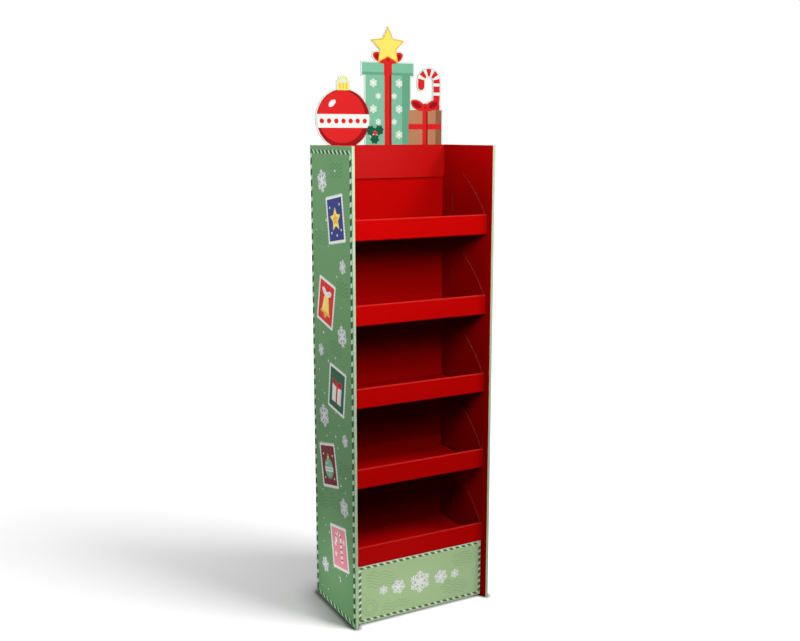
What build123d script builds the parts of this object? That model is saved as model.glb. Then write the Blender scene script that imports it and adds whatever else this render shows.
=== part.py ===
from build123d import *
import math
import os

# Floor standing display unit in corrugated board: a folded body with hollow side walls, five
# folded shelf trays, a plinth, a braced foot and a die-cut header card.
# It stands on z = 0 with its open front towards -Y. All lengths are in millimetres.

# Board, folds and fits
board = 3.0
fold_radius = 2.2
slip = 0.5
slot_play = 0.4
overrun = 1.0

# Cabinet body
cabinet_width = 460.0
cabinet_depth = 290.0
cabinet_height = 1400.0
wall_thickness = 10.0
glue_flap = 60.0
glue_gap = 0.2

# Shelf trays
shelf_count = 5
shelf_pitch = 240.0
lip_setback = 27.0
lip_height = 60.0
lip_gap = 1.5
back_upstand = 40.0
wing_height = 174.0
wing_shoulder_depth = 134.0
wing_bulge = 8.0
wing_corner = 12.0
wing_gap = 2.0
tab_length = 50.0
tab_shares = (0.24, 0.74)
tab_clear = 1.0
lock_height = 56.0
lock_foot = 59.0
lock_window = 7.0
lock_share = 0.76

# Plinth and foot
plinth_height = 180.0
plinth_recess = 1.5
plinth_return = 245.0
plinth_flange = 40.0
foot_flange = 50.0
cross_rib_spacing = 150.0

# Header card
header_height = 350.0
header_band = 100.0
header_gap = 3.5
ear_height = 50.0
cut_margin = 4.0
cut_corner = 2.0

# Header motifs, measured from the middle of the cabinet's top edge
box_x = 22.0
box_width = 150.0
box_height = 205.0
lid_width = 172.0
lid_height = 36.0
star_radius = 58.0
star_tips = 5
star_waist_share = 0.5
bauble_x = -126.0
bauble_z = 76.0
bauble_radius = 86.0
bauble_cap_width = 36.0
bauble_cap_height = 20.0
bauble_ring_radius = 15.0
parcel_x = 150.0
parcel_width = 116.0
parcel_height = 104.0
bow_loop_length = 54.0
bow_loop_width = 28.0
bow_spread = 25.0
bow_tilt = 25.0
cane_x = 190.0
cane_height = 190.0
cane_hook_radius = 27.0
cane_hook_drop = 15.0
cane_width = 22.0

# Places shared by the pieces
front_y = -cabinet_depth / 2
rear_y = cabinet_depth / 2
inner_half = cabinet_width / 2 - wall_thickness
cavity = wall_thickness - 2 * board
flap_line = rear_y - board / 2
back_line = flap_line - board - glue_gap
back_face = back_line - board / 2
header_face = back_face - header_gap - board
fold_zone = fold_radius + board / 2
fold_strip = fold_zone + board
tab_reach = slip + board + cavity - tab_clear

tray_half = inner_half - slip
tray_front = front_y + lip_setback
tray_rear = back_face - slip
tray_depth = tray_rear - tray_front
lip_roll = board + lip_gap
wing_front = tray_front + lip_roll + board + slip
wing_rear = header_face - wing_gap
wing_shoulder = tray_front + wing_shoulder_depth
tab_places = [tray_front + share * tray_depth for share in tab_shares]
lock_place = tray_front + lock_share * tray_depth
shelf_bases = [plinth_height + level * shelf_pitch for level in range(shelf_count)]

plinth_front = tray_front + plinth_recess
foot_half = tray_half - board - slip
foot_front = plinth_front + board + slip
foot_rear = tray_rear

os.makedirs("parts", exist_ok=True)


def side_plane(x, base):
    """Plane across the unit at x: its first axis runs along +Y, its second up from base."""
    return Plane(origin=(x, 0, base), x_dir=(0, 1, 0), z_dir=(1, 0, 0))


def front_plane(y, base):
    """Plane facing the back at y: its first axis runs along -X, its second up from base."""
    return Plane(origin=(0, y, base), x_dir=(-1, 0, 0), z_dir=(0, 1, 0))


def fold_up_sides(half, start, end, height, base):
    """Fold a flap of the given height up along each side of a floor, from start to end in y."""
    middle = (start + end) / 2
    for side in (-1, 1):
        strip_x = side * (half - fold_strip / 2)
        with Locations((strip_x, middle, base + board / 2)):
            Box(fold_strip, end - start, board, mode=Mode.SUBTRACT)
        skin_x = -side * (half - board / 2)
        root_x = -side * (half - fold_strip)
        with BuildSketch(front_plane(start, base)) as flap:
            with BuildLine():
                FilletPolyline(
                    (skin_x, height),
                    (skin_x, board / 2),
                    (root_x, board / 2),
                    radius=fold_radius,
                )
            trace(line_width=board)
        extrude(flap.sketch, amount=end - start, dir=(0, 1, 0))


# Body: one sheet traced in plan from one rear glue flap round to the other
outer_line = cabinet_width / 2 - board / 2
inner_line = inner_half + board / 2
edge_line = front_y + board / 2
right_path = [
    (outer_line - glue_flap, flap_line),
    (outer_line, flap_line),
    (outer_line, edge_line),
    (inner_line, edge_line),
    (inner_line, back_line),
]
left_path = [(-x, y) for x, y in reversed(right_path)]

with BuildPart() as body_wrap:
    with BuildSketch():
        with BuildLine():
            FilletPolyline(*right_path, *left_path, radius=fold_radius)
        trace(line_width=board)
    extrude(amount=cabinet_height)
    # Slots in the inner walls for the tray tabs, the tray locks and the header's ears
    slot_height = board + slot_play
    slot_width = board + 2 * slot_play
    for side in (-1, 1):
        with BuildSketch(side_plane(side * (inner_half - overrun), 0)):
            for base in shelf_bases:
                with Locations(*[(place, base + slot_height / 2) for place in tab_places]):
                    Rectangle(tab_length + 2 * slot_play, slot_height)
                with Locations((lock_place - board / 2, base + lock_foot + lock_height / 2)):
                    Rectangle(slot_width, lock_height + 2 * slot_play)
            ear_base = cabinet_height - (header_band + ear_height) / 2
            with Locations((header_face + board / 2, ear_base + (ear_height + slot_play) / 2)):
                Rectangle(slot_width, ear_height + slot_play)
        extrude(amount=side * (board + 2 * overrun), mode=Mode.SUBTRACT)
body_wrap.part.label = "body_wrap"
export_step(body_wrap.part, "parts/body_wrap.step")


def make_shelf_tray(name, base):
    """One folded tray: upstand, floor and rolled lip in section, then wings, tabs and locks."""
    lip_line = tray_front + board / 2
    lip_bend = lip_height - board / 2 - lip_roll / 2
    with BuildPart() as tray:
        with BuildSketch(side_plane(-tray_half, base)):
            with BuildLine():
                FilletPolyline(
                    (tray_rear - board / 2, back_upstand),
                    (tray_rear - board / 2, board / 2),
                    (lip_line, board / 2),
                    (lip_line, lip_bend),
                    radius=fold_radius,
                )
                ThreePointArc(
                    (lip_line, lip_bend),
                    (lip_line + lip_roll / 2, lip_bend + lip_roll / 2),
                    (lip_line + lip_roll, lip_bend),
                )
                Line((lip_line + lip_roll, lip_bend), (lip_line + lip_roll, board + slip))
            trace(line_width=board)
        extrude(amount=2 * tray_half)
        fold_up_sides(tray_half, wing_front, wing_rear, wing_height, base)
        # Curved front edge and rounded rear corner of both wings
        with BuildSketch(side_plane(-tray_half, base)):
            with BuildLine():
                SagittaArc((wing_front, lip_height), (wing_shoulder, wing_height), wing_bulge)
                Polyline(
                    (wing_shoulder, wing_height),
                    (wing_shoulder, wing_height + overrun),
                    (wing_front - slip, wing_height + overrun),
                    (wing_front - slip, lip_height),
                    (wing_front, lip_height),
                )
            make_face()
        extrude(amount=2 * tray_half, mode=Mode.SUBTRACT)
        rear_corners = tray.edges().filter_by(Axis.X).group_by(Axis.Z)[-1].group_by(Axis.Y)[-1]
        fillet(rear_corners, wing_corner)
        for side in (-1, 1):
            # Floor tabs, cut out of the foot of the wing
            for place in tab_places:
                wing_x = side * (tray_half - board / 2)
                with Locations((wing_x, place, base + fold_zone + tab_reach / 2)):
                    Box(board + 2 * slip, tab_length, tab_reach, mode=Mode.SUBTRACT)
                tab_x = side * (tray_half - fold_zone + (fold_zone + tab_reach) / 2)
                with Locations((tab_x, place, base + board / 2)):
                    Box(fold_zone + tab_reach, tab_length, board)
            # Lanced lock, folded out of its window in the wing
            lock_z = base + lock_foot + lock_height / 2
            with Locations((side * (tray_half - board / 2), lock_place - lock_window / 2, lock_z)):
                Box(board + 2 * slip, lock_window, lock_height, mode=Mode.SUBTRACT)
            lock_length = board + tab_reach
            with Locations((side * (tray_half - board + lock_length / 2), lock_place - board / 2, lock_z)):
                Box(lock_length, board, lock_height)
    tray.part.label = name
    export_step(tray.part, f"parts/{name}.step")


for level, base in enumerate(shelf_bases, start=1):
    make_shelf_tray(f"shelf_tray_{level}", base)

# Plinth: kick panel with two side returns, and a top flange under the lowest tray
kick_line = plinth_front + board / 2
return_line = tray_half - board / 2
flange_half = tray_half - fold_zone - slip

with BuildPart() as plinth:
    with BuildSketch():
        with BuildLine():
            FilletPolyline(
                (-return_line, plinth_front + plinth_return),
                (-return_line, kick_line),
                (return_line, kick_line),
                (return_line, plinth_front + plinth_return),
                radius=fold_radius,
            )
        trace(line_width=board)
    extrude(amount=plinth_height)
    with Locations((0, plinth_front + board / 2, plinth_height - fold_strip / 2)):
        Box(2 * flange_half, board, fold_strip, mode=Mode.SUBTRACT)
    with BuildSketch(side_plane(-flange_half, plinth_height)):
        with BuildLine():
            FilletPolyline(
                (kick_line, -fold_strip),
                (kick_line, -board / 2),
                (plinth_front + plinth_flange, -board / 2),
                radius=fold_radius,
            )
        trace(line_width=board)
    extrude(amount=2 * flange_half)
plinth.part.label = "plinth"
export_step(plinth.part, "parts/plinth.step")

# Base tray: floor of the foot, with a flange folded up on all four sides
with BuildPart() as base_tray:
    with BuildSketch(side_plane(-foot_half, 0)):
        with BuildLine():
            FilletPolyline(
                (foot_front + board / 2, foot_flange),
                (foot_front + board / 2, board / 2),
                (foot_rear - board / 2, board / 2),
                (foot_rear - board / 2, foot_flange),
                radius=fold_radius,
            )
        trace(line_width=board)
    extrude(amount=2 * foot_half)
    fold_up_sides(foot_half, foot_front + fold_zone, foot_rear - fold_zone, foot_flange, 0)
base_tray.part.label = "base_tray"
export_step(base_tray.part, "parts/base_tray.step")

# Ribs of the foot, half-lapped where they cross, standing on the base tray
rib_height = plinth_height - board
lap_height = rib_height / 2
lap_width = board + 2 * slot_play
rib_front = foot_front + fold_zone
rib_rear = foot_rear - fold_zone
rib_half = foot_half - fold_zone
rib_middle = (rib_front + rib_rear) / 2
cross_places = (-cross_rib_spacing / 2, cross_rib_spacing / 2)

with BuildPart() as base_rib_long:
    with BuildSketch(front_plane(rib_middle - board / 2, board)):
        with Locations((0, rib_height / 2)):
            Rectangle(2 * rib_half, rib_height)
        with Locations(*[(place, rib_height - lap_height / 2) for place in cross_places]):
            Rectangle(lap_width, lap_height, mode=Mode.SUBTRACT)
    extrude(amount=board)
base_rib_long.part.label = "base_rib_long"
export_step(base_rib_long.part, "parts/base_rib_long.step")


def make_cross_rib(name, x):
    """A rib from front to back, notched under the plinth's flange and over the long rib."""
    notch = plinth_front + plinth_flange + slip - rib_front
    with BuildPart() as rib:
        with BuildSketch(side_plane(x - board / 2, board)):
            with Locations((rib_middle, rib_height / 2)):
                Rectangle(rib_rear - rib_front, rib_height)
            with Locations((rib_middle, lap_height / 2)):
                Rectangle(lap_width, lap_height, mode=Mode.SUBTRACT)
            with Locations((rib_front + notch / 2, rib_height - board / 2)):
                Rectangle(notch, board, mode=Mode.SUBTRACT)
        extrude(amount=board)
    rib.part.label = name
    export_step(rib.part, f"parts/{name}.step")


make_cross_rib("base_rib_left", cross_places[0])
make_cross_rib("base_rib_right", cross_places[1])

# Header card: band and ears inside the cabinet, and the die-cut outline of its motifs above
star_points = []
for tip in range(2 * star_tips):
    turn = math.pi * tip / star_tips
    reach = (star_radius + cut_margin) * (star_waist_share if tip % 2 else 1)
    star_points.append((reach * math.sin(turn), reach * math.cos(turn)))

with BuildSketch() as star:
    Polygon(*star_points, align=None)
    fillet(star.vertices(), cut_corner)


def die_cut_bow(x, z):
    """The two loops of a ribbon bow, with the die's margin round them."""
    for side in (-1, 1):
        with Locations((x + side * bow_spread, z + bow_loop_width / 2)):
            Ellipse(
                bow_loop_length / 2 + cut_margin,
                bow_loop_width / 2 + cut_margin,
                rotation=side * bow_tilt,
            )


with BuildPart() as header_card:
    with BuildSketch(Plane(origin=(0, header_face, cabinet_height), x_dir=(1, 0, 0), z_dir=(0, -1, 0))):
        with Locations((0, -header_band / 2)):
            Rectangle(2 * tray_half, header_band)
            RectangleRounded(2 * (tray_half + tab_reach), ear_height, cut_corner)
        # Tall gift box with its lid, a bow and a star
        with Locations((box_x, box_height / 2)):
            Rectangle(box_width + 2 * cut_margin, box_height)
        with Locations((box_x, box_height + lid_height / 2)):
            RectangleRounded(lid_width + 2 * cut_margin, lid_height + 2 * cut_margin, cut_corner)
        die_cut_bow(box_x, box_height + lid_height)
        with Locations((box_x, header_height - star_radius - cut_margin)):
            add(star.sketch)
        # Bauble with its cap and hanging ring
        bauble_top = bauble_z + bauble_radius
        with Locations((bauble_x, bauble_z)):
            Circle(bauble_radius + cut_margin)
        with Locations((bauble_x, bauble_top + bauble_cap_height / 2)):
            RectangleRounded(
                bauble_cap_width + 2 * cut_margin,
                bauble_cap_height + 2 * cut_margin,
                cut_corner,
            )
        with Locations((bauble_x, bauble_top + bauble_cap_height)):
            Circle(bauble_ring_radius + cut_margin)
        # Parcel with its bow
        with Locations((parcel_x, parcel_height / 2)):
            RectangleRounded(parcel_width + 2 * cut_margin, parcel_height + 2 * cut_margin, cut_corner)
        die_cut_bow(parcel_x, parcel_height)
        # Candy cane behind the parcel
        hook_end_x = cane_x - 2 * cane_hook_radius
        with BuildLine():
            Line((cane_x, 0), (cane_x, cane_height))
            ThreePointArc(
                (cane_x, cane_height),
                (cane_x - cane_hook_radius, cane_height + cane_hook_radius),
                (hook_end_x, cane_height),
            )
            Line((hook_end_x, cane_height), (hook_end_x, cane_height - cane_hook_drop))
        trace(line_width=cane_width + 2 * cut_margin)
        with Locations((hook_end_x, cane_height - cane_hook_drop)):
            Circle(cane_width / 2 + cut_margin)
    extrude(amount=-board)
header_card.part.label = "header_card"
export_step(header_card.part, "parts/header_card.step")
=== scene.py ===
import math
import random
from contextlib import contextmanager
from functools import partial, reduce

import bmesh
import bpy
from mathutils import Matrix, Vector


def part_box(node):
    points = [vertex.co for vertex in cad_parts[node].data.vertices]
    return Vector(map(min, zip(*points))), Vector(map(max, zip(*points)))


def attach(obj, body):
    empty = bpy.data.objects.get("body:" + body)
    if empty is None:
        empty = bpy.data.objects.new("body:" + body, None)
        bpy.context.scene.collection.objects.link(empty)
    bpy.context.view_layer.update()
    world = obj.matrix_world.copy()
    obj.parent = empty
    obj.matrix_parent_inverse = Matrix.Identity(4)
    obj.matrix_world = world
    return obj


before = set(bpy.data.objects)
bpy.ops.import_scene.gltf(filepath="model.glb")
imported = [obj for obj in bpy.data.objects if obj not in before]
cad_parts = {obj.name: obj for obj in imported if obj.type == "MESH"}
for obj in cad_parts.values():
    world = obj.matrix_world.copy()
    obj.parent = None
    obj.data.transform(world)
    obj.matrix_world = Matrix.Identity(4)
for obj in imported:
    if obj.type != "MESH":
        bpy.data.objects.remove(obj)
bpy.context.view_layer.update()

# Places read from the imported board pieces, in metres
BODY_LOW, BODY_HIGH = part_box("body_wrap")
HEADER_LOW, HEADER_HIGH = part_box("header_card")
PLINTH_LOW, PLINTH_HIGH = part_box("plinth")
TRAY_LOW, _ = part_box("shelf_tray_1")
TRAY_BASE = TRAY_LOW.z
TRAY_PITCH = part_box("shelf_tray_2")[0].z - TRAY_BASE
TRAY_NAMES, BASE_NAMES = (
    sorted(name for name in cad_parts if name.startswith(start)) for start in ("shelf_tray", "base_")
)

HALF_WIDTH = BODY_HIGH.x
FRONT = BODY_LOW.y
REAR = BODY_HIGH.y
CABINET_DEPTH = REAR - FRONT
CABINET_TOP = BODY_HIGH.z
BOARD = HEADER_HIGH.y - HEADER_LOW.y

# Build of the board, as in the folded pieces
WALL = 0.010
GLUE_GAP = 0.0002
SLIP = 0.0005
FOLD_OUTSIDE = 0.0037
EDGE_ROLL = 0.0016
EDGE_BLEED = 0.0012
INNER_HALF = HALF_WIDTH - WALL
BACK_FACE = REAR - 2 * BOARD - GLUE_GAP
TRAY_HALF = INNER_HALF - SLIP
LIP_DEPTH = 0.0075
LIP_HEIGHT = 0.060
LIP_ROLL = LIP_DEPTH / 2
# where the painted highlight along the top of the lip's roll starts, as a share of the roll
LIP_HIGHLIGHT_FROM = 0.2
TOUCH = 0.0003
FLUTE_PITCH = 0.0064
FLUTE_SWING = 0.0009
LINER = 0.00035

# Print: rise of each layer, depth of the plates in the board, and small lifts that keep plates apart
INK_STEP = 0.00005
INK_SINK = 0.00004
INK_STAGGER = 0.000004
STAGGER_TURNS = 11

# Dash borders: pitch and width of the level and upright rows, bare strips outside them, leans and shares
SIDE_LEVEL_DASHES = (0.0267, 0.011)
SIDE_UPRIGHT_DASHES = (0.0315, 0.012)
SIDE_TOP_STRIP = 0.012
SIDE_FRONT_STRIP = 0.003
SIDE_REAR_STRIP = 0.0035
SIDE_FOOT_STRIP = 0.004
PLINTH_LEVEL_DASHES = (0.0221, 0.007)
PLINTH_UPRIGHT_DASHES = (0.0212, 0.008)
PLINTH_LEFT_STRIP = 0.0135
PLINTH_RIGHT_STRIP = 0.002
PLINTH_TOP_STRIP = 0.003
PLINTH_FOOT_STRIP = 0.004
LEVEL_LEAN = -1.0
UPRIGHT_LEAN = -0.4
DARK_DASH_SHARE = 0.55
PALE_DASH_SHARE = 0.38

# Snowflakes, as shares of their radius: arm width, where each pair of barbs starts and its length, middle
FLAKE_ARMS = 6
FLAKE_ARM_WIDTH = 0.13
FLAKE_BARBS = ((0.42, 0.44), (0.68, 0.32))
FLAKE_BARB_WIDTH = 0.12
FLAKE_BARB_LEAN = math.radians(54)
FLAKE_MIDDLE, FLAKE_WAIST = 0.54, 0.62

# Labels on the sides: size, teeth of the edge, and the layers that they are printed in
LABEL_WIDTH, LABEL_HEIGHT, LABEL_TOOTH = 0.112, 0.132, 0.009
LABEL_FRAME, TOOTH_RADIUS = 1.5 * LABEL_TOOTH, 0.34 * LABEL_TOOTH
TEETH_LAYER, CARD_LAYER, FIELD_LAYER, MOTIF_LAYER = 3, 4, 5, 6

# Side print: places are the distance from the middle toward the front, and the height; then a radius
BIG_FLAKES = ((-0.058, 1.300, 0.034), (0.070, 0.866, 0.032), (-0.066, 0.600, 0.036), (0.072, 0.352, 0.030))
SMALL_FLAKES = ((0.078, 1.066, 0.022), (-0.082, 0.8, 0.020), (0.082, 0.56, 0.020), (-0.072, 0.12, 0.026))
BIG_FLAKE_TURN, SMALL_FLAKE_TURN = 0.2, -0.15
SIDE_WAVES = (
    (-0.070, 1.120), (0.030, 0.806), (0.006, 0.330), (-0.090, 0.310),
    (0.040, 1.316), (0.075, 0.985), (-0.070, 0.556), (0.078, 0.452),
)
SIDE_WAVE_LINES, SIDE_WAVE_STEP = 4, 0.011
SIDE_WAVE = {"length": 0.084, "width": 0.0025, "swing": 0.0034, "waves": 3}
DOT_COUNT, DOT_SEED = 46, 7
DOT_REACH, DOT_LOW, DOT_HIGH = 0.112, 0.040, CABINET_TOP - 0.060
DOT_SMALL, DOT_LARGE = 0.0018, 0.0042

# Plinth print: wavy lines as place, number, turn in degrees and longest line; rings; flakes on each side
PLINTH_WAVES = (
    (-0.138, 0.104, 6, -8, 0.108),
    (0.152, 0.116, 5, 6, 0.084),
    (-0.084, 0.026, 3, 4, 0.094),
    (0.122, 0.030, 5, -5, 0.100),
)
PLINTH_WAVE_STEP, PLINTH_WAVE_TAPER, PLINTH_WAVE_SHIFT = 0.009, 0.012, 0.004
PLINTH_WAVE = {"width": 0.0020, "swing": 0.0032, "waves": 2}
RING_X, RING_Z, RING_RADII, RING_WIDTH = -0.170, 0.044, (0.025, 0.016), 0.0018
MIDDLE_FLAKE_RADIUS = 0.036
OUTER_FLAKES = ((0.074, 0.024, 0.3), (0.124, 0.015, 0.0))

# Header picture, measured from the middle of the cabinet's top edge
BOX_X, BOX_WIDTH, BOX_HEIGHT = 0.022, 0.150, 0.205
BOX_FLAKE_ROWS, BOX_FLAKE_LOW, BOX_FLAKE_PITCH = 5, 0.030, 0.038
BOX_FLAKE_RADII, BOX_FLAKE_SPREADS, BOX_SHADE_ROOM = (0.013, 0.010), (0.33, 0.22), 0.012
LID_WIDTH, LID_HEIGHT, LID_SHADE_SHARE, LID_RIBBON_SHARE = 0.172, 0.036, 0.24, 0.18
RIBBON_SHARE = 0.16
STAR_RADIUS, STAR_TIPS, STAR_WAIST_SHARE = 0.058, 5, 0.5
STAR_Z, STAR_FACE_SHARE = 0.288, 0.88
BAUBLE_X, BAUBLE_Z, BAUBLE_RADIUS = -0.126, 0.076, 0.086
PARCEL_X, PARCEL_WIDTH, PARCEL_HEIGHT, PARCEL_BAND_SHARE = 0.150, 0.116, 0.104, 0.52
BOW_LENGTH, BOW_WIDTH, BOW_SPREAD = 0.054, 0.028, 0.025
BOW_TILT = math.radians(25)
CANE_X, CANE_HEIGHT, CANE_HOOK, CANE_DROP, CANE_WIDTH = 0.190, 0.217, 0.027, 0.015, 0.022
CANE_HOOK_STRIPES = 4
HOLLY_X, HOLLY_Z, HOLLY_SIZE = -0.022, 0.034, 0.030

# Inks and papers, as screen colours
INKS = {
    "white": (234, 236, 230),
    "pale": (230, 242, 220),
    "side_pale": (190, 216, 188),
    "snow": (222, 219, 228),
    "plinth_white": (250, 250, 248),
    "dark_green": (34, 76, 44),
    "leaf_green": (90, 126, 80),
    "side_wave": (84, 126, 82),
    "plinth_wave": (162, 190, 138),
    "mint": (124, 184, 152),
    "deep_mint": (98, 160, 128),
    "yellow": (248, 222, 104),
    "amber": (232, 178, 66),
    "red": (214, 34, 34),
    "deep_red": (154, 14, 22),
    "navy": (40, 50, 122),
    "pink": (232, 146, 160),
    "fir": (24, 84, 60),
    "maroon": (110, 18, 28),
    "brown": (182, 126, 92),
    "deep_brown": (144, 92, 64),
}
# painted shade: the body's outer green is darker than the plinth's green and the front edges' mint,
# standing for the shade on the sides
BODY_GREEN_PAINTED_SHADE = (109, 153, 106)
EDGE_MINT = (184, 210, 176)
PLINTH_GREEN = (184, 214, 159)
PRINT_RED = (194, 5, 4)
# painted highlight: a paler red along the rolled lip's top stands for light catching the roll
LIP_PAINTED_HIGHLIGHT_RED = (194, 38, 34)
CARD_PALE = (210, 228, 214)
LINER_WHITE = (226, 222, 212)
LINER_FLECK = (186, 176, 156)
EDGE_WHITE = (232, 230, 220)
EDGE_HOLLOW = (128, 118, 102)
EDGE_RED = (172, 60, 52)
EDGE_RED_HOLLOW = (92, 14, 12)
WHITE_EDGE, RED_EDGE = (EDGE_WHITE, EDGE_HOLLOW), (EDGE_RED, EDGE_RED_HOLLOW)

# Gloss of each board, as the shader's specular level
BODY_GLOSS = 0.025
TRAY_GLOSS = 0.02
HEADER_GLOSS = 0.2
PLINTH_GLOSS = 0.05
PLAIN_GLOSS = 0.05
INK_GLOSS = 0.07

# Ink on coated paper: noise scales to the metre, and how much lay, grain and flutes show
INK_LAY_SCALE, INK_GRAIN_SCALE = 7.0, 900.0
INK_TONE, INK_LAY_TONE, INK_GRAIN_TONE, INK_FLUTE_TONE = 0.99, 0.10, 0.07, 0.012
INK_ROUGHNESS, INK_LAY_ROUGHNESS, INK_GRAIN_ROUGHNESS = 0.42, 0.12, 0.16
INK_FLUTE_RELIEF = 0.5

# Bare liner: noise scales to the metre, and how much fibres, clouds and flutes show
FIBRE_SCALE, CLOUD_SCALE, FLECK_SCALE, FLECK_FROM = 420.0, 14.0, 260.0, 0.72
LINER_TONE, FIBRE_TONE, CLOUD_TONE, LINER_FLUTE_TONE = 0.86, 0.14, 0.10, 0.025
LINER_ROUGHNESS, FIBRE_ROUGHNESS = 0.72, 0.15
LINER_FLUTE_RELIEF = 1.2

# Cracked ink at the folds: noise scales to the metre, shares, where cracks start, and the wear of each fold
BREAK_SCALE, PATCH_SCALE = 180.0, 12.0
BREAK_SHARE, PATCH_SHARE = 0.6, 0.5
CRACK_FROM, CRACK_STRENGTH, CRACK_SOFTNESS = 0.58, 0.7, 0.05
BODY_WEAR, PLINTH_WEAR = 1.6, 3.5

# Relief of every board, and the turn of the surface past which a face counts as a cut edge
BOARD_RELIEF, RELIEF_STRENGTH = 0.00012, 0.35
EDGE_ROUGHNESS = 0.85
CUT_FACING, WING_FACING = 0.7, 0.5


# Colour and node helpers

COLOUR_SOCKETS = ("Ink", "Colour", "Paper", "Hollow")
FINISH_OUTPUTS = ("Colour", "Roughness", "Height")


def linear(screen):
    """A screen colour, 0 to 255, as the linear colour that a shader socket takes."""
    shares = [value / 255 for value in screen]
    tones = [s / 12.92 if s <= 0.04045 else ((s + 0.055) / 1.055) ** 2.4 for s in shares]
    return (*tones, 1.0)


class Wiring:
    """Adds nodes to one node tree and links each as it is made."""

    def __init__(self, tree):
        self.tree = tree

    def feed(self, socket, value):
        if isinstance(value, bpy.types.NodeSocket):
            self.tree.links.new(value, socket)
        else:
            socket.default_value = value

    def node(self, kind, inputs=(), **settings):
        node = self.tree.nodes.new(kind)
        for name, value in settings.items():
            setattr(node, name, value)
        for name, value in dict(inputs).items():
            self.feed(node.inputs[name], value)
        return node

    def math(self, operation, *values):
        return self.node("ShaderNodeMath", enumerate(values), operation=operation).outputs[0]

    def less(self, value, other):
        return self.math("SUBTRACT", value, other)

    def distance(self, value):
        return self.math("ABSOLUTE", value)

    def add_share(self, value, share, base):
        return self.math("MULTIPLY_ADD", value, share, base)

    def above(self, value, limit):
        return self.math("GREATER_THAN", value, limit)

    def below(self, value, limit):
        return self.math("LESS_THAN", value, limit)

    def both(self, *masks):
        return reduce(partial(self.math, "MULTIPLY"), masks)

    def either(self, *masks):
        return reduce(partial(self.math, "MAXIMUM"), masks)

    def corner_reach(self, first, second):
        """Distance from a corner's centre line, from the two reaches past it."""
        first = self.math("MAXIMUM", first, 0.0)
        second = self.math("MAXIMUM", second, 0.0)
        squares = self.add_share(first, first, self.math("MULTIPLY", second, second))
        return self.math("SQRT", squares)

    def mix(self, factor, first, second):
        inputs = {0: factor, 6: first, 7: second}
        return self.node("ShaderNodeMix", inputs, data_type="RGBA").outputs[2]

    def blend(self, factor, first, second):
        inputs = {0: factor, 2: first, 3: second}
        return self.node("ShaderNodeMix", inputs, data_type="FLOAT").outputs[0]

    def noise(self, scale, detail, vector):
        inputs = {"Vector": vector, "Scale": scale, "Detail": detail}
        return self.node("ShaderNodeTexNoise", inputs).outputs["Fac"]

    def scaled(self, colour, tone):
        return self.node("ShaderNodeVectorMath", {0: colour, "Scale": tone}, operation="SCALE").outputs[0]

    def between(self, operation, *vectors):
        """The outputs of one vector sum, length or product."""
        return self.node("ShaderNodeVectorMath", enumerate(vectors), operation=operation).outputs

    def flutes(self, run):
        """The rise and fall of the flutes along a run, from -1 to 1."""
        return self.math("SINE", self.math("MULTIPLY", run, math.tau / FLUTE_PITCH))

    def place(self):
        """Object coordinates: the vector and its three parts."""
        vector = self.node("ShaderNodeTexCoord").outputs["Object"]
        return vector, self.node("ShaderNodeSeparateXYZ", {"Vector": vector}).outputs

    def mirrored_place(self):
        """The three parts of the object coordinates, with x as the distance from the middle."""
        _, parts = self.place()
        return self.distance(parts["X"]), parts["Y"], parts["Z"]

    def facing(self):
        """The three parts of the surface's own direction."""
        vector = self.node("ShaderNodeTexCoord").outputs["Normal"]
        return self.node("ShaderNodeSeparateXYZ", {"Vector": vector}).outputs

    def use(self, group, **inputs):
        return self.node("ShaderNodeGroup", inputs, node_tree=group).outputs


def new_group(name, inputs, outputs):
    """An empty shader group with named sockets, and its wiring."""
    group = bpy.data.node_groups.new(name, "ShaderNodeTree")
    for titles, way in ((inputs, "INPUT"), (outputs, "OUTPUT")):
        for title in titles:
            kind = "NodeSocketColor" if title in COLOUR_SOCKETS else "NodeSocketFloat"
            group.interface.new_socket(title, in_out=way, socket_type=kind)
    wiring = Wiring(group)
    return group, wiring, wiring.node("NodeGroupInput").outputs, wiring.node("NodeGroupOutput").inputs


# Finishes that several boards share


def make_print_finish():
    """Ink on a coated liner: uneven lay of the ink, paper grain and the flutes showing through."""
    group, wiring, given, out = new_group("print_finish", ("Ink", "Run"), FINISH_OUTPUTS)
    vector, _ = wiring.place()
    lay = wiring.less(wiring.noise(INK_LAY_SCALE, 3.0, vector), 0.5)
    grain = wiring.less(wiring.noise(INK_GRAIN_SCALE, 2.0, vector), 0.5)
    flute = wiring.flutes(given["Run"])
    tone = wiring.add_share(lay, INK_LAY_TONE, INK_TONE)
    tone = wiring.add_share(grain, INK_GRAIN_TONE, tone)
    tone = wiring.add_share(flute, INK_FLUTE_TONE, tone)
    wiring.feed(out["Colour"], wiring.scaled(given["Ink"], tone))
    roughness = wiring.add_share(grain, INK_GRAIN_ROUGHNESS, INK_ROUGHNESS)
    wiring.feed(out["Roughness"], wiring.add_share(lay, INK_LAY_ROUGHNESS, roughness))
    wiring.feed(out["Height"], wiring.add_share(flute, INK_FLUTE_RELIEF, grain))
    return group


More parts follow.
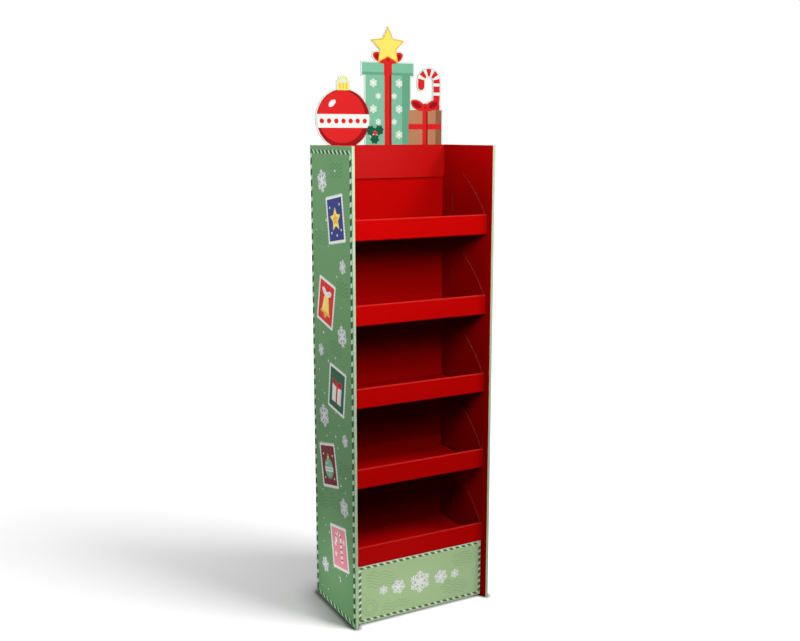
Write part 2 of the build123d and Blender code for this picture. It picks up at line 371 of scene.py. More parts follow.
def make_liner_finish():
    """The bare paper side of the board: fibres, flecks and stronger flute lines."""
    group, wiring, given, out = new_group("liner_finish", ("Run",), FINISH_OUTPUTS)
    vector, _ = wiring.place()
    fibres = wiring.noise(FIBRE_SCALE, 4.0, vector)
    clouds = wiring.noise(CLOUD_SCALE, 3.0, vector)
    flecks = wiring.above(wiring.noise(FLECK_SCALE, 1.0, vector), FLECK_FROM)
    flute = wiring.flutes(given["Run"])
    tone = wiring.add_share(fibres, FIBRE_TONE, LINER_TONE)
    tone = wiring.add_share(clouds, CLOUD_TONE, tone)
    tone = wiring.add_share(flute, LINER_FLUTE_TONE, tone)
    paper = wiring.scaled(linear(LINER_WHITE)[:3], tone)
    wiring.feed(out["Colour"], wiring.mix(flecks, paper, linear(LINER_FLECK)))
    wiring.feed(out["Roughness"], wiring.add_share(fibres, FIBRE_ROUGHNESS, LINER_ROUGHNESS))
    wiring.feed(out["Height"], wiring.add_share(flute, LINER_FLUTE_RELIEF, fibres))
    return group


def make_cut_edge():
    """The raw edge of corrugated board: two liners, the fluted sheet between them and its hollows."""
    inputs = ("Depth", "Run", "Paper", "Hollow")
    group, wiring, given, out = new_group("cut_edge", inputs, ("Colour", "Height"))
    depth = wiring.distance(given["Depth"])
    liner = wiring.above(depth, BOARD / 2 - LINER)
    swing = wiring.math("MULTIPLY", wiring.flutes(given["Run"]), FLUTE_SWING)
    medium = wiring.below(wiring.distance(wiring.less(given["Depth"], swing)), LINER)
    paper = wiring.either(liner, medium)
    wiring.feed(out["Colour"], wiring.mix(paper, given["Hollow"], given["Paper"]))
    wiring.feed(out["Height"], paper)
    return group


def make_fold_cracks():
    """Pale breaks in the ink where the sheet is bent: a mask that grows with Nearness to the fold."""
    group, wiring, given, out = new_group("fold_cracks", ("Nearness",), ("Mask",))
    vector, _ = wiring.place()
    breaks = wiring.noise(BREAK_SCALE, 4.0, vector)
    patches = wiring.math("MULTIPLY", wiring.noise(PATCH_SCALE, 2.0, vector), PATCH_SHARE)
    worn = wiring.both(wiring.add_share(breaks, BREAK_SHARE, patches), given["Nearness"])
    cracked = wiring.above(worn, CRACK_FROM)
    wiring.feed(out["Mask"], wiring.math("SMOOTH_MIN", cracked, CRACK_STRENGTH, CRACK_SOFTNESS))
    return group


PRINT_FINISH = make_print_finish()
LINER_FINISH = make_liner_finish()
CUT_EDGE = make_cut_edge()
FOLD_CRACKS = make_fold_cracks()


def new_object(name, data):
    made = bpy.data.objects.new(name, data)
    bpy.context.scene.collection.objects.link(made)
    return made


def new_material(name):
    material = bpy.data.materials.new(name)
    material.use_nodes = True
    wiring = Wiring(material.node_tree)
    return material, wiring, material.node_tree.nodes["Principled BSDF"]


def finish_board(wiring, shader, colour, roughness, height, gloss):
    """Puts a board's colour, gloss and relief on its shader."""
    relief = {"Height": height, "Distance": BOARD_RELIEF, "Strength": RELIEF_STRENGTH}
    bump = wiring.node("ShaderNodeBump", relief)
    wiring.feed(shader.inputs["Base Color"], colour)
    wiring.feed(shader.inputs["Roughness"], roughness)
    wiring.feed(shader.inputs["Normal"], bump.outputs[0])
    shader.inputs["Specular IOR Level"].default_value = gloss


def layered_board(wiring, shader, gloss, papers, ink, printed, cut, depth, edge_run, run, worn):
    """Finishes a board whose printed faces, bare faces and cut edges are told apart by masks.

    papers are the colours of the cut edge's paper and of its hollows, depth is the place in the edge's
    thickness, the runs are distances along the edge and the faces, and worn grows toward a fold.
    """
    face = wiring.use(PRINT_FINISH, Ink=ink, Run=run)
    bare = wiring.use(LINER_FINISH, Run=run)
    paper, hollow = (linear(colour) for colour in papers)
    edge = wiring.use(CUT_EDGE, Depth=depth, Run=edge_run, Paper=paper, Hollow=hollow)
    cracked = wiring.use(FOLD_CRACKS, Nearness=worn)["Mask"]
    inked = wiring.mix(cracked, face["Colour"], linear(EDGE_WHITE))
    colour = wiring.mix(printed, bare["Colour"], inked)
    colour = wiring.mix(cut, colour, edge["Colour"])
    roughness = wiring.blend(printed, bare["Roughness"], face["Roughness"])
    roughness = wiring.blend(cut, roughness, EDGE_ROUGHNESS)
    height = wiring.blend(printed, bare["Height"], face["Height"])
    height = wiring.blend(cut, height, edge["Height"])
    finish_board(wiring, shader, colour, roughness, height, gloss)


def run_round(wiring):
    """Distance along a sheet that folds round upright corners."""
    _, parts = wiring.place()
    return wiring.math("ADD", parts["X"], parts["Y"])


# Materials of the board pieces


def body_board():
    """Green outside, darkened as painted shade except on the mint front edges, red inside, bare inside the
    hollow walls and on the back panel's rear.
    """
    material, wiring, shader = new_material("body_board")
    across, along, _ = wiring.mirrored_place()
    past_side = wiring.less(across, HALF_WIDTH - FOLD_OUTSIDE)
    past_end = wiring.less(wiring.distance(along), REAR - FOLD_OUTSIDE)
    worn = wiring.math("MULTIPLY", wiring.math("MINIMUM", past_side, past_end), BODY_WEAR / FOLD_OUTSIDE)

    between_walls = wiring.below(across, INNER_HALF + EDGE_BLEED)
    inside = wiring.both(between_walls, wiring.below(along, BACK_FACE + TOUCH))
    outside = wiring.above(wiring.corner_reach(past_side, past_end), FOLD_OUTSIDE - TOUCH)
    at_front = wiring.below(along, FRONT + FOLD_OUTSIDE)
    front_roll = wiring.both(at_front, wiring.above(across, INNER_HALF + TOUCH))
    printed = wiring.either(inside, outside, front_roll)

    at_edge = wiring.below(along, FRONT + EDGE_ROLL)
    front_edge = wiring.both(at_edge, wiring.below(across, HALF_WIDTH - EDGE_BLEED))
    # painted shade: the darker green outside, with the lighter mint only on the front edges
    green = wiring.mix(front_edge, linear(BODY_GREEN_PAINTED_SHADE), linear(EDGE_MINT))
    ink = wiring.mix(inside, green, linear(PRINT_RED))

    cut = wiring.above(wiring.distance(wiring.facing()["Z"]), CUT_FACING)
    outer = wiring.less(across, HALF_WIDTH - BOARD / 2)
    inner = wiring.less(across, INNER_HALF + BOARD / 2)
    rear = wiring.less(along, REAR - BOARD / 2)
    back = wiring.less(along, BACK_FACE + BOARD / 2)
    in_back = wiring.both(wiring.above(along, BACK_FACE), wiring.below(across, INNER_HALF + BOARD))
    depth = wiring.blend(wiring.above(across, HALF_WIDTH - BOARD), inner, outer)
    depth = wiring.blend(in_back, depth, back)
    depth = wiring.blend(wiring.above(along, REAR - BOARD), depth, rear)
    run = run_round(wiring)
    layered_board(wiring, shader, BODY_GLOSS, WHITE_EDGE, ink, printed, cut, depth, run, run, worn)
    return material


def tray_board():
    """Red on every face, with a painted highlight along the rolled lip, and worn red edges on the wings and
    their locks.
    """
    material, wiring, shader = new_material("tray_board")
    across, along, height = wiring.mirrored_place()
    rise = wiring.math("MODULO", wiring.less(height, TRAY_BASE - TOUCH), TRAY_PITCH)
    past_top = wiring.less(rise, LIP_HEIGHT - LIP_ROLL)
    past_front = wiring.less(TRAY_LOW.y + LIP_ROLL, along)
    # painted highlight: the rolled top of each lip gets the paler red
    rolled = wiring.above(wiring.math("MINIMUM", past_top, past_front), LIP_ROLL * LIP_HIGHLIGHT_FROM)
    ink = wiring.mix(rolled, linear(PRINT_RED), linear(LIP_PAINTED_HIGHLIGHT_RED))

    in_wing = wiring.above(across, TRAY_HALF - BOARD - TOUCH)
    behind_lip = wiring.above(along, TRAY_LOW.y + LIP_DEPTH + TOUCH)
    edge_on = wiring.below(wiring.distance(wiring.facing()["X"]), WING_FACING)
    cut = wiring.both(in_wing, behind_lip, edge_on, wiring.above(rise, FOLD_OUTSIDE + TOUCH))
    depth = wiring.less(across, TRAY_HALF - BOARD / 2)
    edge_run = wiring.math("ADD", along, height)
    _, parts = wiring.place()
    layered_board(wiring, shader, TRAY_GLOSS, RED_EDGE, ink, 1.0, cut, depth, edge_run, parts["X"], 0.0)
    return material


def header_board():
    """Pale picture card above the cabinet, red tuck band inside it, bare at the rear."""
    material, wiring, shader = new_material("header_board")
    _, parts = wiring.place()
    run = parts["X"]
    facing = wiring.facing()["Y"]
    ink = wiring.mix(wiring.above(parts["Z"], CABINET_TOP), linear(PRINT_RED), linear(CARD_PALE))
    printed = wiring.below(facing, 0.0)
    cut = wiring.below(wiring.distance(facing), CUT_FACING)
    depth = wiring.less(parts["Y"], HEADER_LOW.y + BOARD / 2)
    layered_board(wiring, shader, HEADER_GLOSS, WHITE_EDGE, ink, printed, cut, depth, run, run, 0.0)
    return material


def plinth_board():
    """Green on the kick panel and its folds, bare inside."""
    material, wiring, shader = new_material("plinth_board")
    across, along, height = wiring.mirrored_place()
    past_side = wiring.less(across, PLINTH_HIGH.x - FOLD_OUTSIDE)
    past_front = wiring.less(PLINTH_LOW.y + FOLD_OUTSIDE, along)
    past_top = wiring.less(height, PLINTH_HIGH.z - FOLD_OUTSIDE)
    upright = wiring.above(wiring.corner_reach(past_side, past_front), FOLD_OUTSIDE - TOUCH)
    rolled = wiring.above(wiring.corner_reach(past_top, past_front), FOLD_OUTSIDE - TOUCH)
    printed = wiring.either(upright, rolled)
    worn = wiring.math("MULTIPLY", wiring.math("MINIMUM", past_top, past_front), PLINTH_WEAR / FOLD_OUTSIDE)
    cut = wiring.below(height, TOUCH)
    depth = wiring.less(along, PLINTH_LOW.y + BOARD / 2)
    run = run_round(wiring)
    ink = linear(PLINTH_GREEN)
    layered_board(wiring, shader, PLINTH_GLOSS, WHITE_EDGE, ink, printed, cut, depth, run, run, worn)
    return material


def single_board(name, gloss, finish, **inputs):
    """Board or ink with one finish all over."""
    material, wiring, shader = new_material(name)
    look = wiring.use(finish, Run=run_round(wiring), **inputs)
    finish_board(wiring, shader, look["Colour"], look["Roughness"], look["Height"], gloss)
    return material


# Printing


class PrintedSheet:
    """Flat printed shapes on one face of a board, gathered by ink.

    Shapes are drawn in the face's own plane, x to the right and y up as seen from outside,
    and each is a thin closed plate that stands proud by the layer it is printed in.
    """

    def __init__(self, name, slot, origin, right, up):
        right, up = Vector(right), Vector(up)
        outward = right.cross(up)
        self.name = name
        self.slot = slot
        self.face = Matrix.Translation(origin) @ Matrix((right, up, outward)).transposed().to_4x4()
        self.spot = Matrix.Identity(4)
        self.layers = {}
        self.count = 0

    @contextmanager
    def turned(self, x, y, turn=0.0):
        """Draws about another point, turned anticlockwise."""
        outer = self.spot
        self.spot = outer @ Matrix.Translation((x, y, 0)) @ Matrix.Rotation(turn, 4, "Z")
        yield self
        self.spot = outer

    def plane(self, ink, layer):
        return self.layers.setdefault((ink, layer), bmesh.new())

    def setting(self, x, y, turn=0.0, wide=1.0, tall=1.0, lean=0.0):
        """The matrix of one shape, with a small lift of its own so that no two plates share a level."""
        self.count += 1
        lift = (self.count % STAGGER_TURNS) * INK_STAGGER - INK_SINK
        slope = Matrix(((wide, lean * tall, 0, 0), (0, tall, 0, 0), (0, 0, 1, 0), (0, 0, 0, 1)))
        return self.spot @ Matrix.Translation((x, y, lift)) @ Matrix.Rotation(turn, 4, "Z") @ slope

    def bar(self, ink, layer, x, y, wide, tall, turn=0.0, lean=0.0, top_share=1.0):
        """A bar about its middle; lean shears it and top_share narrows its top."""
        matrix = self.setting(x, y, turn, wide, tall, lean)
        made = bmesh.ops.create_grid(self.plane(ink, layer), x_segments=1, y_segments=1, size=0.5)["verts"]
        for vert in made:
            if vert.co.y > 0:
                vert.co.x *= top_share
        bmesh.ops.transform(self.plane(ink, layer), matrix=matrix, verts=made)

    def disc(self, ink, layer, x, y, radius, tall_share=1.0, turn=0.0, segments=28):
        matrix = self.setting(x, y, turn, radius, radius * tall_share)
        bmesh.ops.create_circle(
            self.plane(ink, layer), cap_ends=True, segments=segments, radius=1.0, matrix=matrix
        )

    def disc_band(self, ink, layer, x, y, radius, low, high, segments=48):
        """The part of a disc between two level lines, given from its centre."""
        bm = self.plane(ink, layer)
        made = bmesh.ops.create_circle(bm, cap_ends=True, segments=segments, radius=radius)["verts"]
        for level, side in ((low, -1.0), (high, 1.0)):
            faces = {face for vert in made for face in vert.link_faces}
            edges = {edge for vert in made for edge in vert.link_edges}
            cut = bmesh.ops.bisect_plane(
                bm,
                geom=made + list(edges) + list(faces),
                plane_co=(0, level, 0),
                plane_no=(0, side, 0),
                clear_outer=True,
            )
            kept = {part for part in cut["geom"] if part.is_valid}
            made = [part for part in kept if isinstance(part, bmesh.types.BMVert)]
        bmesh.ops.transform(bm, matrix=self.setting(x, y), verts=made)

    def ring(self, ink, layer, x, y, radius, width, segments=28):
        bm = self.plane(ink, layer)
        made = bmesh.ops.create_circle(bm, cap_ends=True, segments=segments, radius=radius)["verts"]
        bmesh.ops.transform(bm, matrix=self.setting(x, y), verts=made)
        middle = made[0].link_faces[0]
        bmesh.ops.inset_region(bm, faces=[middle], thickness=width, use_boundary=True, use_even_offset=True)
        bmesh.ops.delete(bm, geom=[middle], context="FACES_ONLY")

    def star(self, ink, layer, x, y, radius, tips, waist_share, turn=0.0):
        """A pointed star with its first tip up."""
        bm = self.plane(ink, layer)
        made = bmesh.ops.create_circle(bm, cap_ends=True, segments=2 * tips, radius=1.0)["verts"]
        for vert in made[1::2]:
            vert.co *= waist_share
        bmesh.ops.transform(bm, matrix=self.setting(x, y, turn, radius, radius), verts=made)

    def arc(self, ink, layer, x, y, radius, width, start, sweep, steps=14):
        """A curved strip about a point, from one angle through a sweep."""
        bm = self.plane(ink, layer)
        near = bm.verts.new((radius - width / 2, 0, 0))
        far = bm.verts.new((radius + width / 2, 0, 0))
        edge = bm.edges.new((near, far))
        before = set(bm.verts) - {near, far}
        bmesh.ops.spin(bm, geom=[near, far, edge], axis=(0, 0, 1), cent=(0, 0, 0), angle=sweep, steps=steps)
        made = [vert for vert in bm.verts if vert not in before]
        bmesh.ops.transform(bm, matrix=self.setting(x, y, start), verts=made)

    def wave(self, ink, layer, x, y, length, width, swing, waves, turn=0.0):
        """A thin level line that rises and falls."""
        bm = self.plane(ink, layer)
        steps = 10 * waves
        made = bmesh.ops.create_grid(bm, x_segments=steps, y_segments=1, size=0.5)["verts"]
        bmesh.ops.transform(bm, matrix=Matrix.Diagonal((length, width, 1, 1)), verts=made)
        for vert in made:
            vert.co.y += swing * math.sin(math.tau * waves * vert.co.x / length)
        bmesh.ops.transform(bm, matrix=self.setting(x, y, turn), verts=made)

    def finish(self, materials):
        """Raises the flat shapes into plates and makes one piece for each ink."""
        for ink in sorted({ink for ink, _ in self.layers}):
            whole = bmesh.new()
            for (shape_ink, layer), bm in sorted(self.layers.items()):
                if shape_ink != ink:
                    continue
                raised = bmesh.ops.extrude_face_region(bm, geom=list(bm.faces))["geom"]
                tops = [part for part in raised if isinstance(part, bmesh.types.BMVert)]
                bmesh.ops.translate(bm, vec=(0, 0, layer * INK_STEP + INK_SINK), verts=tops)
                plates = bpy.data.meshes.new("plates")
                bm.to_mesh(plates)
                whole.from_mesh(plates)
                bpy.data.meshes.remove(plates)
                bm.free()
            bmesh.ops.transform(whole, matrix=self.face, verts=whole.verts)
            bmesh.ops.recalc_face_normals(whole, faces=whole.faces)
            mesh = bpy.data.meshes.new(f"{self.name}_{ink}")
            whole.to_mesh(mesh)
            whole.free()
            mesh.materials.append(materials[ink])
            piece = new_object(mesh.name, mesh)
            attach(piece, "root")


# Printed motifs


def draw_dash_border(sheet, left, right, low, high, level, upright, dark_ink, pale_ink):
    """A frame of leaning dark and pale dashes; level and upright give the pitch and width of its rows."""
    level_pitch, level_band = level
    upright_pitch, upright_band = upright
    ends = (left + level_band / 2, right - level_band / 2)
    rows = [(*ends, middle, False) for middle in (low + level_band / 2, high - level_band / 2)]
    ends = (low + level_band, high - level_band)
    rows += [(*ends, middle, True) for middle in (left + upright_band / 2, right - upright_band / 2)]
    for start, end, middle, stands in rows:
        pitch, band = (upright_pitch, upright_band) if stands else (level_pitch, level_band)
        count = round((end - start) / pitch)
        step = (end - start) / count
        for index in range(count):
            dark = start + (index + DARK_DASH_SHARE / 2) * step
            pale = start + (index + 0.5 + DARK_DASH_SHARE / 2) * step
            for ink, at, share in ((dark_ink, dark, DARK_DASH_SHARE), (pale_ink, pale, PALE_DASH_SHARE)):
                if stands:
                    sheet.bar(ink, 1, middle, at, step * share, band, math.pi / 2, UPRIGHT_LEAN)
                else:
                    sheet.bar(ink, 1, at, middle, step * share, band, 0.0, LEVEL_LEAN)


def draw_snowflake(sheet, ink, layer, x, y, radius, turn=0.0):
    """Six barbed arms about a pointed middle."""
    for arm in range(FLAKE_ARMS):
        with sheet.turned(x, y, turn + arm * math.tau / FLAKE_ARMS):
            sheet.bar(ink, layer, 0, radius / 2, FLAKE_ARM_WIDTH * radius, radius)
            for reach, barb in FLAKE_BARBS:
                for side in (-1, 1):
                    lean = side * FLAKE_BARB_LEAN
                    middle = barb * radius / 2
                    across, along = -math.sin(lean) * middle, reach * radius + math.cos(lean) * middle
                    sheet.bar(ink, layer, across, along, FLAKE_BARB_WIDTH * radius, barb * radius, lean)
    with sheet.turned(x, y, turn):
        sheet.star(ink, layer, 0, 0, FLAKE_MIDDLE * radius, FLAKE_ARMS, FLAKE_WAIST)


def draw_bow(sheet, layer, x, y, size, ink, shade):
    """Two loops with shaded hollows, a short tail and a creased knot; size is the length of a loop."""
    spread = size * BOW_SPREAD / BOW_LENGTH
    loop_share = BOW_WIDTH / BOW_LENGTH
    hollow, hollow_spread, hollow_lift = 0.29 * size, 1.15 * spread, 0.02 * size
    tail, tail_drop = 0.3 * size, 0.2 * size
    knot, knot_drop = 0.15 * size, 0.04 * size
    crease, crease_drop = 0.08 * size, 0.1 * size
    for side in (-1, 1):
        tilt = side * BOW_TILT
        sheet.disc(ink, layer, x + side * spread, y, size / 2, loop_share, tilt)
        sheet.disc(shade, layer + 1, x + side * hollow_spread, y + hollow_lift, hollow, loop_share, tilt)
    sheet.bar(ink, layer, x, y - tail_drop, tail, tail)
    sheet.disc(ink, layer + 1, x, y - knot_drop, knot, tall_share=1.1)
    sheet.disc(shade, layer + 2, x, y - crease_drop, crease, tall_share=0.5)


def draw_gift(sheet, layer, x, y, wide, tall, ink, shade, ribbon, ribbon_shade):
    """A box from its foot up and its upright ribbon, each with a shaded side."""
    band = RIBBON_SHARE * wide
    shaded, band_shaded = 0.18 * wide, 0.28 * band
    middle = y + tall / 2
    sheet.bar(ink, layer, x, middle, wide, tall)
    sheet.bar(shade, layer + 1, x + (wide - shaded) / 2, middle, shaded, tall)
    sheet.bar(ribbon, layer + 2, x, middle, band, tall)
    sheet.bar(ribbon_shade, layer + 3, x + (band - band_shaded) / 2, middle, band_shaded, tall)


def draw_bauble(sheet, layer, x, y, radius, foot, ink, shade, cap, cap_shade):
    """A round bauble with a shaded rim, a white band of dots, a glint, its cap and its ring.

    foot is the level, from its centre, where the rim is cut off below.
    """
    cap_wide, cap_tall, ring = 0.42 * radius, 0.233 * radius, 0.175 * radius
    rib_pitch, rib_wide, rib_tall = 0.3 * cap_wide, 0.1 * cap_wide, 0.8 * cap_tall
    band_low, band_high = -0.30 * radius, 0.16 * radius
    spot, spot_pitch, spot_level = 0.085 * radius, 0.27 * radius, y + (band_low + band_high) / 2
    glint, glint_x, glint_y = 0.16 * radius, x - 0.42 * radius, y + 0.52 * radius
    cap_middle = y + radius + cap_tall / 2
    sheet.ring(cap, layer, x, y + 1.02 * radius + cap_tall, ring, 0.3 * ring)
    sheet.bar(cap, layer + 1, x, cap_middle - 0.03 * radius, cap_wide, 1.1 * cap_tall)
    for rib in (-1, 0, 1):
        sheet.bar(cap_shade, layer + 2, x + rib * rib_pitch, cap_middle, rib_wide, rib_tall)
    sheet.disc_band(shade, layer, x, y, radius, foot, radius)
    sheet.disc(ink, layer + 1, x - 0.06 * radius, y + 0.07 * radius, 0.89 * radius, segments=48)
    sheet.disc_band("white", layer + 2, x, y, 0.995 * radius, band_low, band_high)
    for index in range(-3, 4):
        sheet.disc(ink, layer + 3, x + index * spot_pitch, spot_level, spot, segments=16)
    sheet.disc("white", layer + 2, glint_x, glint_y, glint, tall_share=0.55, turn=math.radians(42))


def draw_cane(sheet, layer, x, y, tall, hook, drop, wide, ink, stripe):
    """A stick from its foot up, hooked to the left, with stripes straight across it."""
    crown = y + tall - hook
    sheet.bar(ink, layer, x, (y + crown) / 2, wide, crown - y)
    sheet.arc(ink, layer, x - hook, crown, hook, wide, 0, math.pi, steps=18)
    sheet.bar(ink, layer, x - 2 * hook, crown - drop / 2, wide, drop)
    sheet.disc(ink, layer, x - 2 * hook, crown - drop, wide / 2)
    first, pitch, thick = 0.7 * wide, 1.25 * wide, 0.42 * wide
    for index in range(int((crown - y - wide) / pitch) + 1):
        sheet.bar(stripe, layer + 1, x, y + first + index * pitch, wide, thick)
    turn = math.pi / CANE_HOOK_STRIPES
    for index in range(CANE_HOOK_STRIPES):
        start, sweep = (index + 0.3) * turn, 0.42 * turn
        sheet.arc(stripe, layer + 1, x - hook, crown, hook, wide, start, sweep, steps=4)


def draw_bell(sheet, layer, x, y, size, ink, shade):
    """A hand bell: clapper, skirt, crown, rim, loop and glint, in shares of its size."""
    crown = 0.26 * size
    sheet.disc(shade, layer, x, y - 0.50 * size, 0.13 * size)
    sheet.bar(ink, layer + 1, x, y - 0.08 * size, 0.82 * size, 0.62 * size, top_share=0.62)
    sheet.disc_band(ink, layer + 1, x, y + 0.2 * size, crown, 0, crown)
    sheet.bar(shade, layer + 2, x, y - 0.40 * size, 0.98 * size, 0.12 * size)
    sheet.disc(shade, layer, x, y + 0.48 * size, 0.07 * size)
    sheet.bar("white", layer + 2, x - 0.16 * size, y - 0.02 * size, 0.07 * size, 0.4 * size, turn=-0.2)


def draw_holly(sheet, layer, x, y, size):
    """Three pointed leaves and three berries."""
    leaf, leaf_tips, leaf_waist_share = 0.55 * size, 7, 0.74
    berry, berry_reach, berry_turn = 0.13 * size, 0.14 * size, 0.4
    for turn in (35, 150, 265):
        with sheet.turned(x, y, math.radians(turn)):
            sheet.star("fir", layer, leaf, 0, leaf, leaf_tips, leaf_waist_share, turn=math.pi / 2)
    for index in range(3):
        angle = index * math.tau / 3 + berry_turn
        across, along = berry_reach * math.cos(angle), berry_reach * math.sin(angle)
        sheet.disc("red", layer + 1, x + across, y + along, berry)


def draw_label(sheet, x, y, turn, field, motif):
    """A toothed white label with a coloured field and one motif."""
    with sheet.turned(x, y, turn):
        sheet.bar("white", CARD_LAYER, 0, 0, LABEL_WIDTH, LABEL_HEIGHT)
        edges = ((LABEL_WIDTH, LABEL_HEIGHT, False), (LABEL_HEIGHT, LABEL_WIDTH, True))
        for span, other, upright in edges:
            count = round(span / LABEL_TOOTH)
            for index in range(count):
                along = (index + 0.5) * span / count - span / 2
                for side in (-1, 1):
                    across = side * other / 2
                    place = (across, along) if upright else (along, across)
                    sheet.disc("white", TEETH_LAYER, *place, TOOTH_RADIUS, segments=10)
        sheet.bar(field, FIELD_LAYER, 0, 0, LABEL_WIDTH - LABEL_FRAME, LABEL_HEIGHT - LABEL_FRAME)
        motif(sheet)


def star_motif(sheet):
    for layer, ink, radius in ((MOTIF_LAYER, "yellow", 0.036), (MOTIF_LAYER + 1, "amber", 0.019)):
        sheet.star(ink, layer, 0, 0, radius, STAR_TIPS, STAR_WAIST_SHARE)
    for x, y in ((-0.034, 0.036), (0.033, 0.040), (-0.031, -0.036), (0.034, -0.032), (0.004, -0.045)):
        sheet.disc("white", MOTIF_LAYER, x, y, radius=0.0036, segments=12)


def bell_motif(sheet):
    draw_bell(sheet, MOTIF_LAYER, 0, -0.006, size=0.066, ink="yellow", shade="amber")
    draw_bow(sheet, MOTIF_LAYER + 3, 0, 0.030, size=0.034, ink="white", shade="snow")


def gift_motif(sheet):
    inks = ("white", "snow", "red", "deep_red")
    draw_gift(sheet, MOTIF_LAYER, 0, -0.040, 0.062, 0.052, *inks)
    draw_bow(sheet, MOTIF_LAYER + 4, 0, 0.019, size=0.034, ink="red", shade="deep_red")


def cane_motif(sheet):
    size = {"tall": 0.088, "hook": 0.016, "drop": 0.008, "wide": 0.013}
    draw_cane(sheet, MOTIF_LAYER, 0.012, -0.044, **size, ink="white", stripe="red")
    for x, y in ((-0.030, -0.022), (-0.028, 0.010), (0.034, 0.022)):
        draw_snowflake(sheet, "white", MOTIF_LAYER, x, y, radius=0.009)


def bauble_motif(sheet):
    radius = 0.031
    with sheet.turned(0, -0.010):
        draw_bauble(sheet, MOTIF_LAYER, 0, 0, radius, -radius, "mint", "deep_mint", "yellow", "amber")
    for x, y in ((-0.033, 0.034), (0.034, 0.030), (-0.034, -0.038), (0.033, -0.040)):
        sheet.disc("white", MOTIF_LAYER, x, y, radius=0.0034, segments=12)


def print_side(name, x, way):
    """The outer side: dash border, labels, snowflakes, dots and faint wavy lines.

    way is 1 where the front edge lies to the right as seen from outside, and -1 on the other side.
    """
    sheet = PrintedSheet(name, "body_board", (x, 0, 0), (0, -way, 0), (0, 0, 1))
    front = (CABINET_DEPTH / 2 - SIDE_FRONT_STRIP) * way
    rear = (SIDE_REAR_STRIP - CABINET_DEPTH / 2) * way
    left, right = sorted((front, rear))
    low, high = SIDE_FOOT_STRIP, CABINET_TOP - SIDE_TOP_STRIP
    inks = ("dark_green", "side_pale")
    draw_dash_border(sheet, left, right, low, high, SIDE_LEVEL_DASHES, SIDE_UPRIGHT_DASHES, *inks)
    labels = (
        (0.034, 1.196, 9, "navy", star_motif),
        (-0.040, 0.948, -12, "red", bell_motif),
        (0.030, 0.700, -8, "fir", gift_motif),
        (-0.036, 0.452, 13, "maroon", bauble_motif),
        (0.036, 0.214, 10, "pink", cane_motif),
    )
    for u, v, turn, field, motif in labels:
        draw_label(sheet, u * way, v, math.radians(turn) * way, field, motif)
    for flakes, turn in ((BIG_FLAKES, BIG_FLAKE_TURN), (SMALL_FLAKES, SMALL_FLAKE_TURN)):
        for u, v, radius in flakes:
            draw_snowflake(sheet, "snow", 3, u * way, v, radius, turn)
    for u, v in SIDE_WAVES:
        for line in range(SIDE_WAVE_LINES):
            sheet.wave("side_wave", 1, u * way, v + line * SIDE_WAVE_STEP, **SIDE_WAVE)
    drops = random.Random(DOT_SEED)
    for _ in range(DOT_COUNT):
        u = drops.uniform(-DOT_REACH, DOT_REACH)
        v = drops.uniform(DOT_LOW, DOT_HIGH)
        sheet.disc("snow", 2, u * way, v, drops.uniform(DOT_SMALL, DOT_LARGE), segments=12)
    return sheet


def print_plinth():
    """The kick panel: dash border, faint wavy lines, a double ring and a row of snowflakes."""
    sheet = PrintedSheet("plinth_print", "plinth_board", (0, PLINTH_LOW.y, 0), (1, 0, 0), (0, 0, 1))
    left, right = PLINTH_LOW.x + PLINTH_LEFT_STRIP, PLINTH_HIGH.x - PLINTH_RIGHT_STRIP
    low, high = PLINTH_FOOT_STRIP, PLINTH_HIGH.z - PLINTH_TOP_STRIP
    inks = ("leaf_green", "pale")
    draw_dash_border(sheet, left, right, low, high, PLINTH_LEVEL_DASHES, PLINTH_UPRIGHT_DASHES, *inks)
    for x, y, lines, turn, longest in PLINTH_WAVES:
        with sheet.turned(x, y, math.radians(turn)):
            for line in range(lines):
                length = longest - PLINTH_WAVE_TAPER * abs(line - (lines - 1) / 2)
                place = (PLINTH_WAVE_SHIFT * (line % 2), line * PLINTH_WAVE_STEP)
                sheet.wave("plinth_wave", 1, *place, length, **PLINTH_WAVE)
    for radius in RING_RADII:
        sheet.ring("plinth_wave", 1, RING_X, RING_Z, radius, RING_WIDTH)
    middle = PLINTH_HIGH.z / 2
    draw_snowflake(sheet, "plinth_white", 2, 0, middle, MIDDLE_FLAKE_RADIUS)
    for side in (-1, 1):
        for reach, radius, turn in OUTER_FLAKES:
            draw_snowflake(sheet, "plinth_white", 2, side * reach, middle, radius, turn)
    return sheet


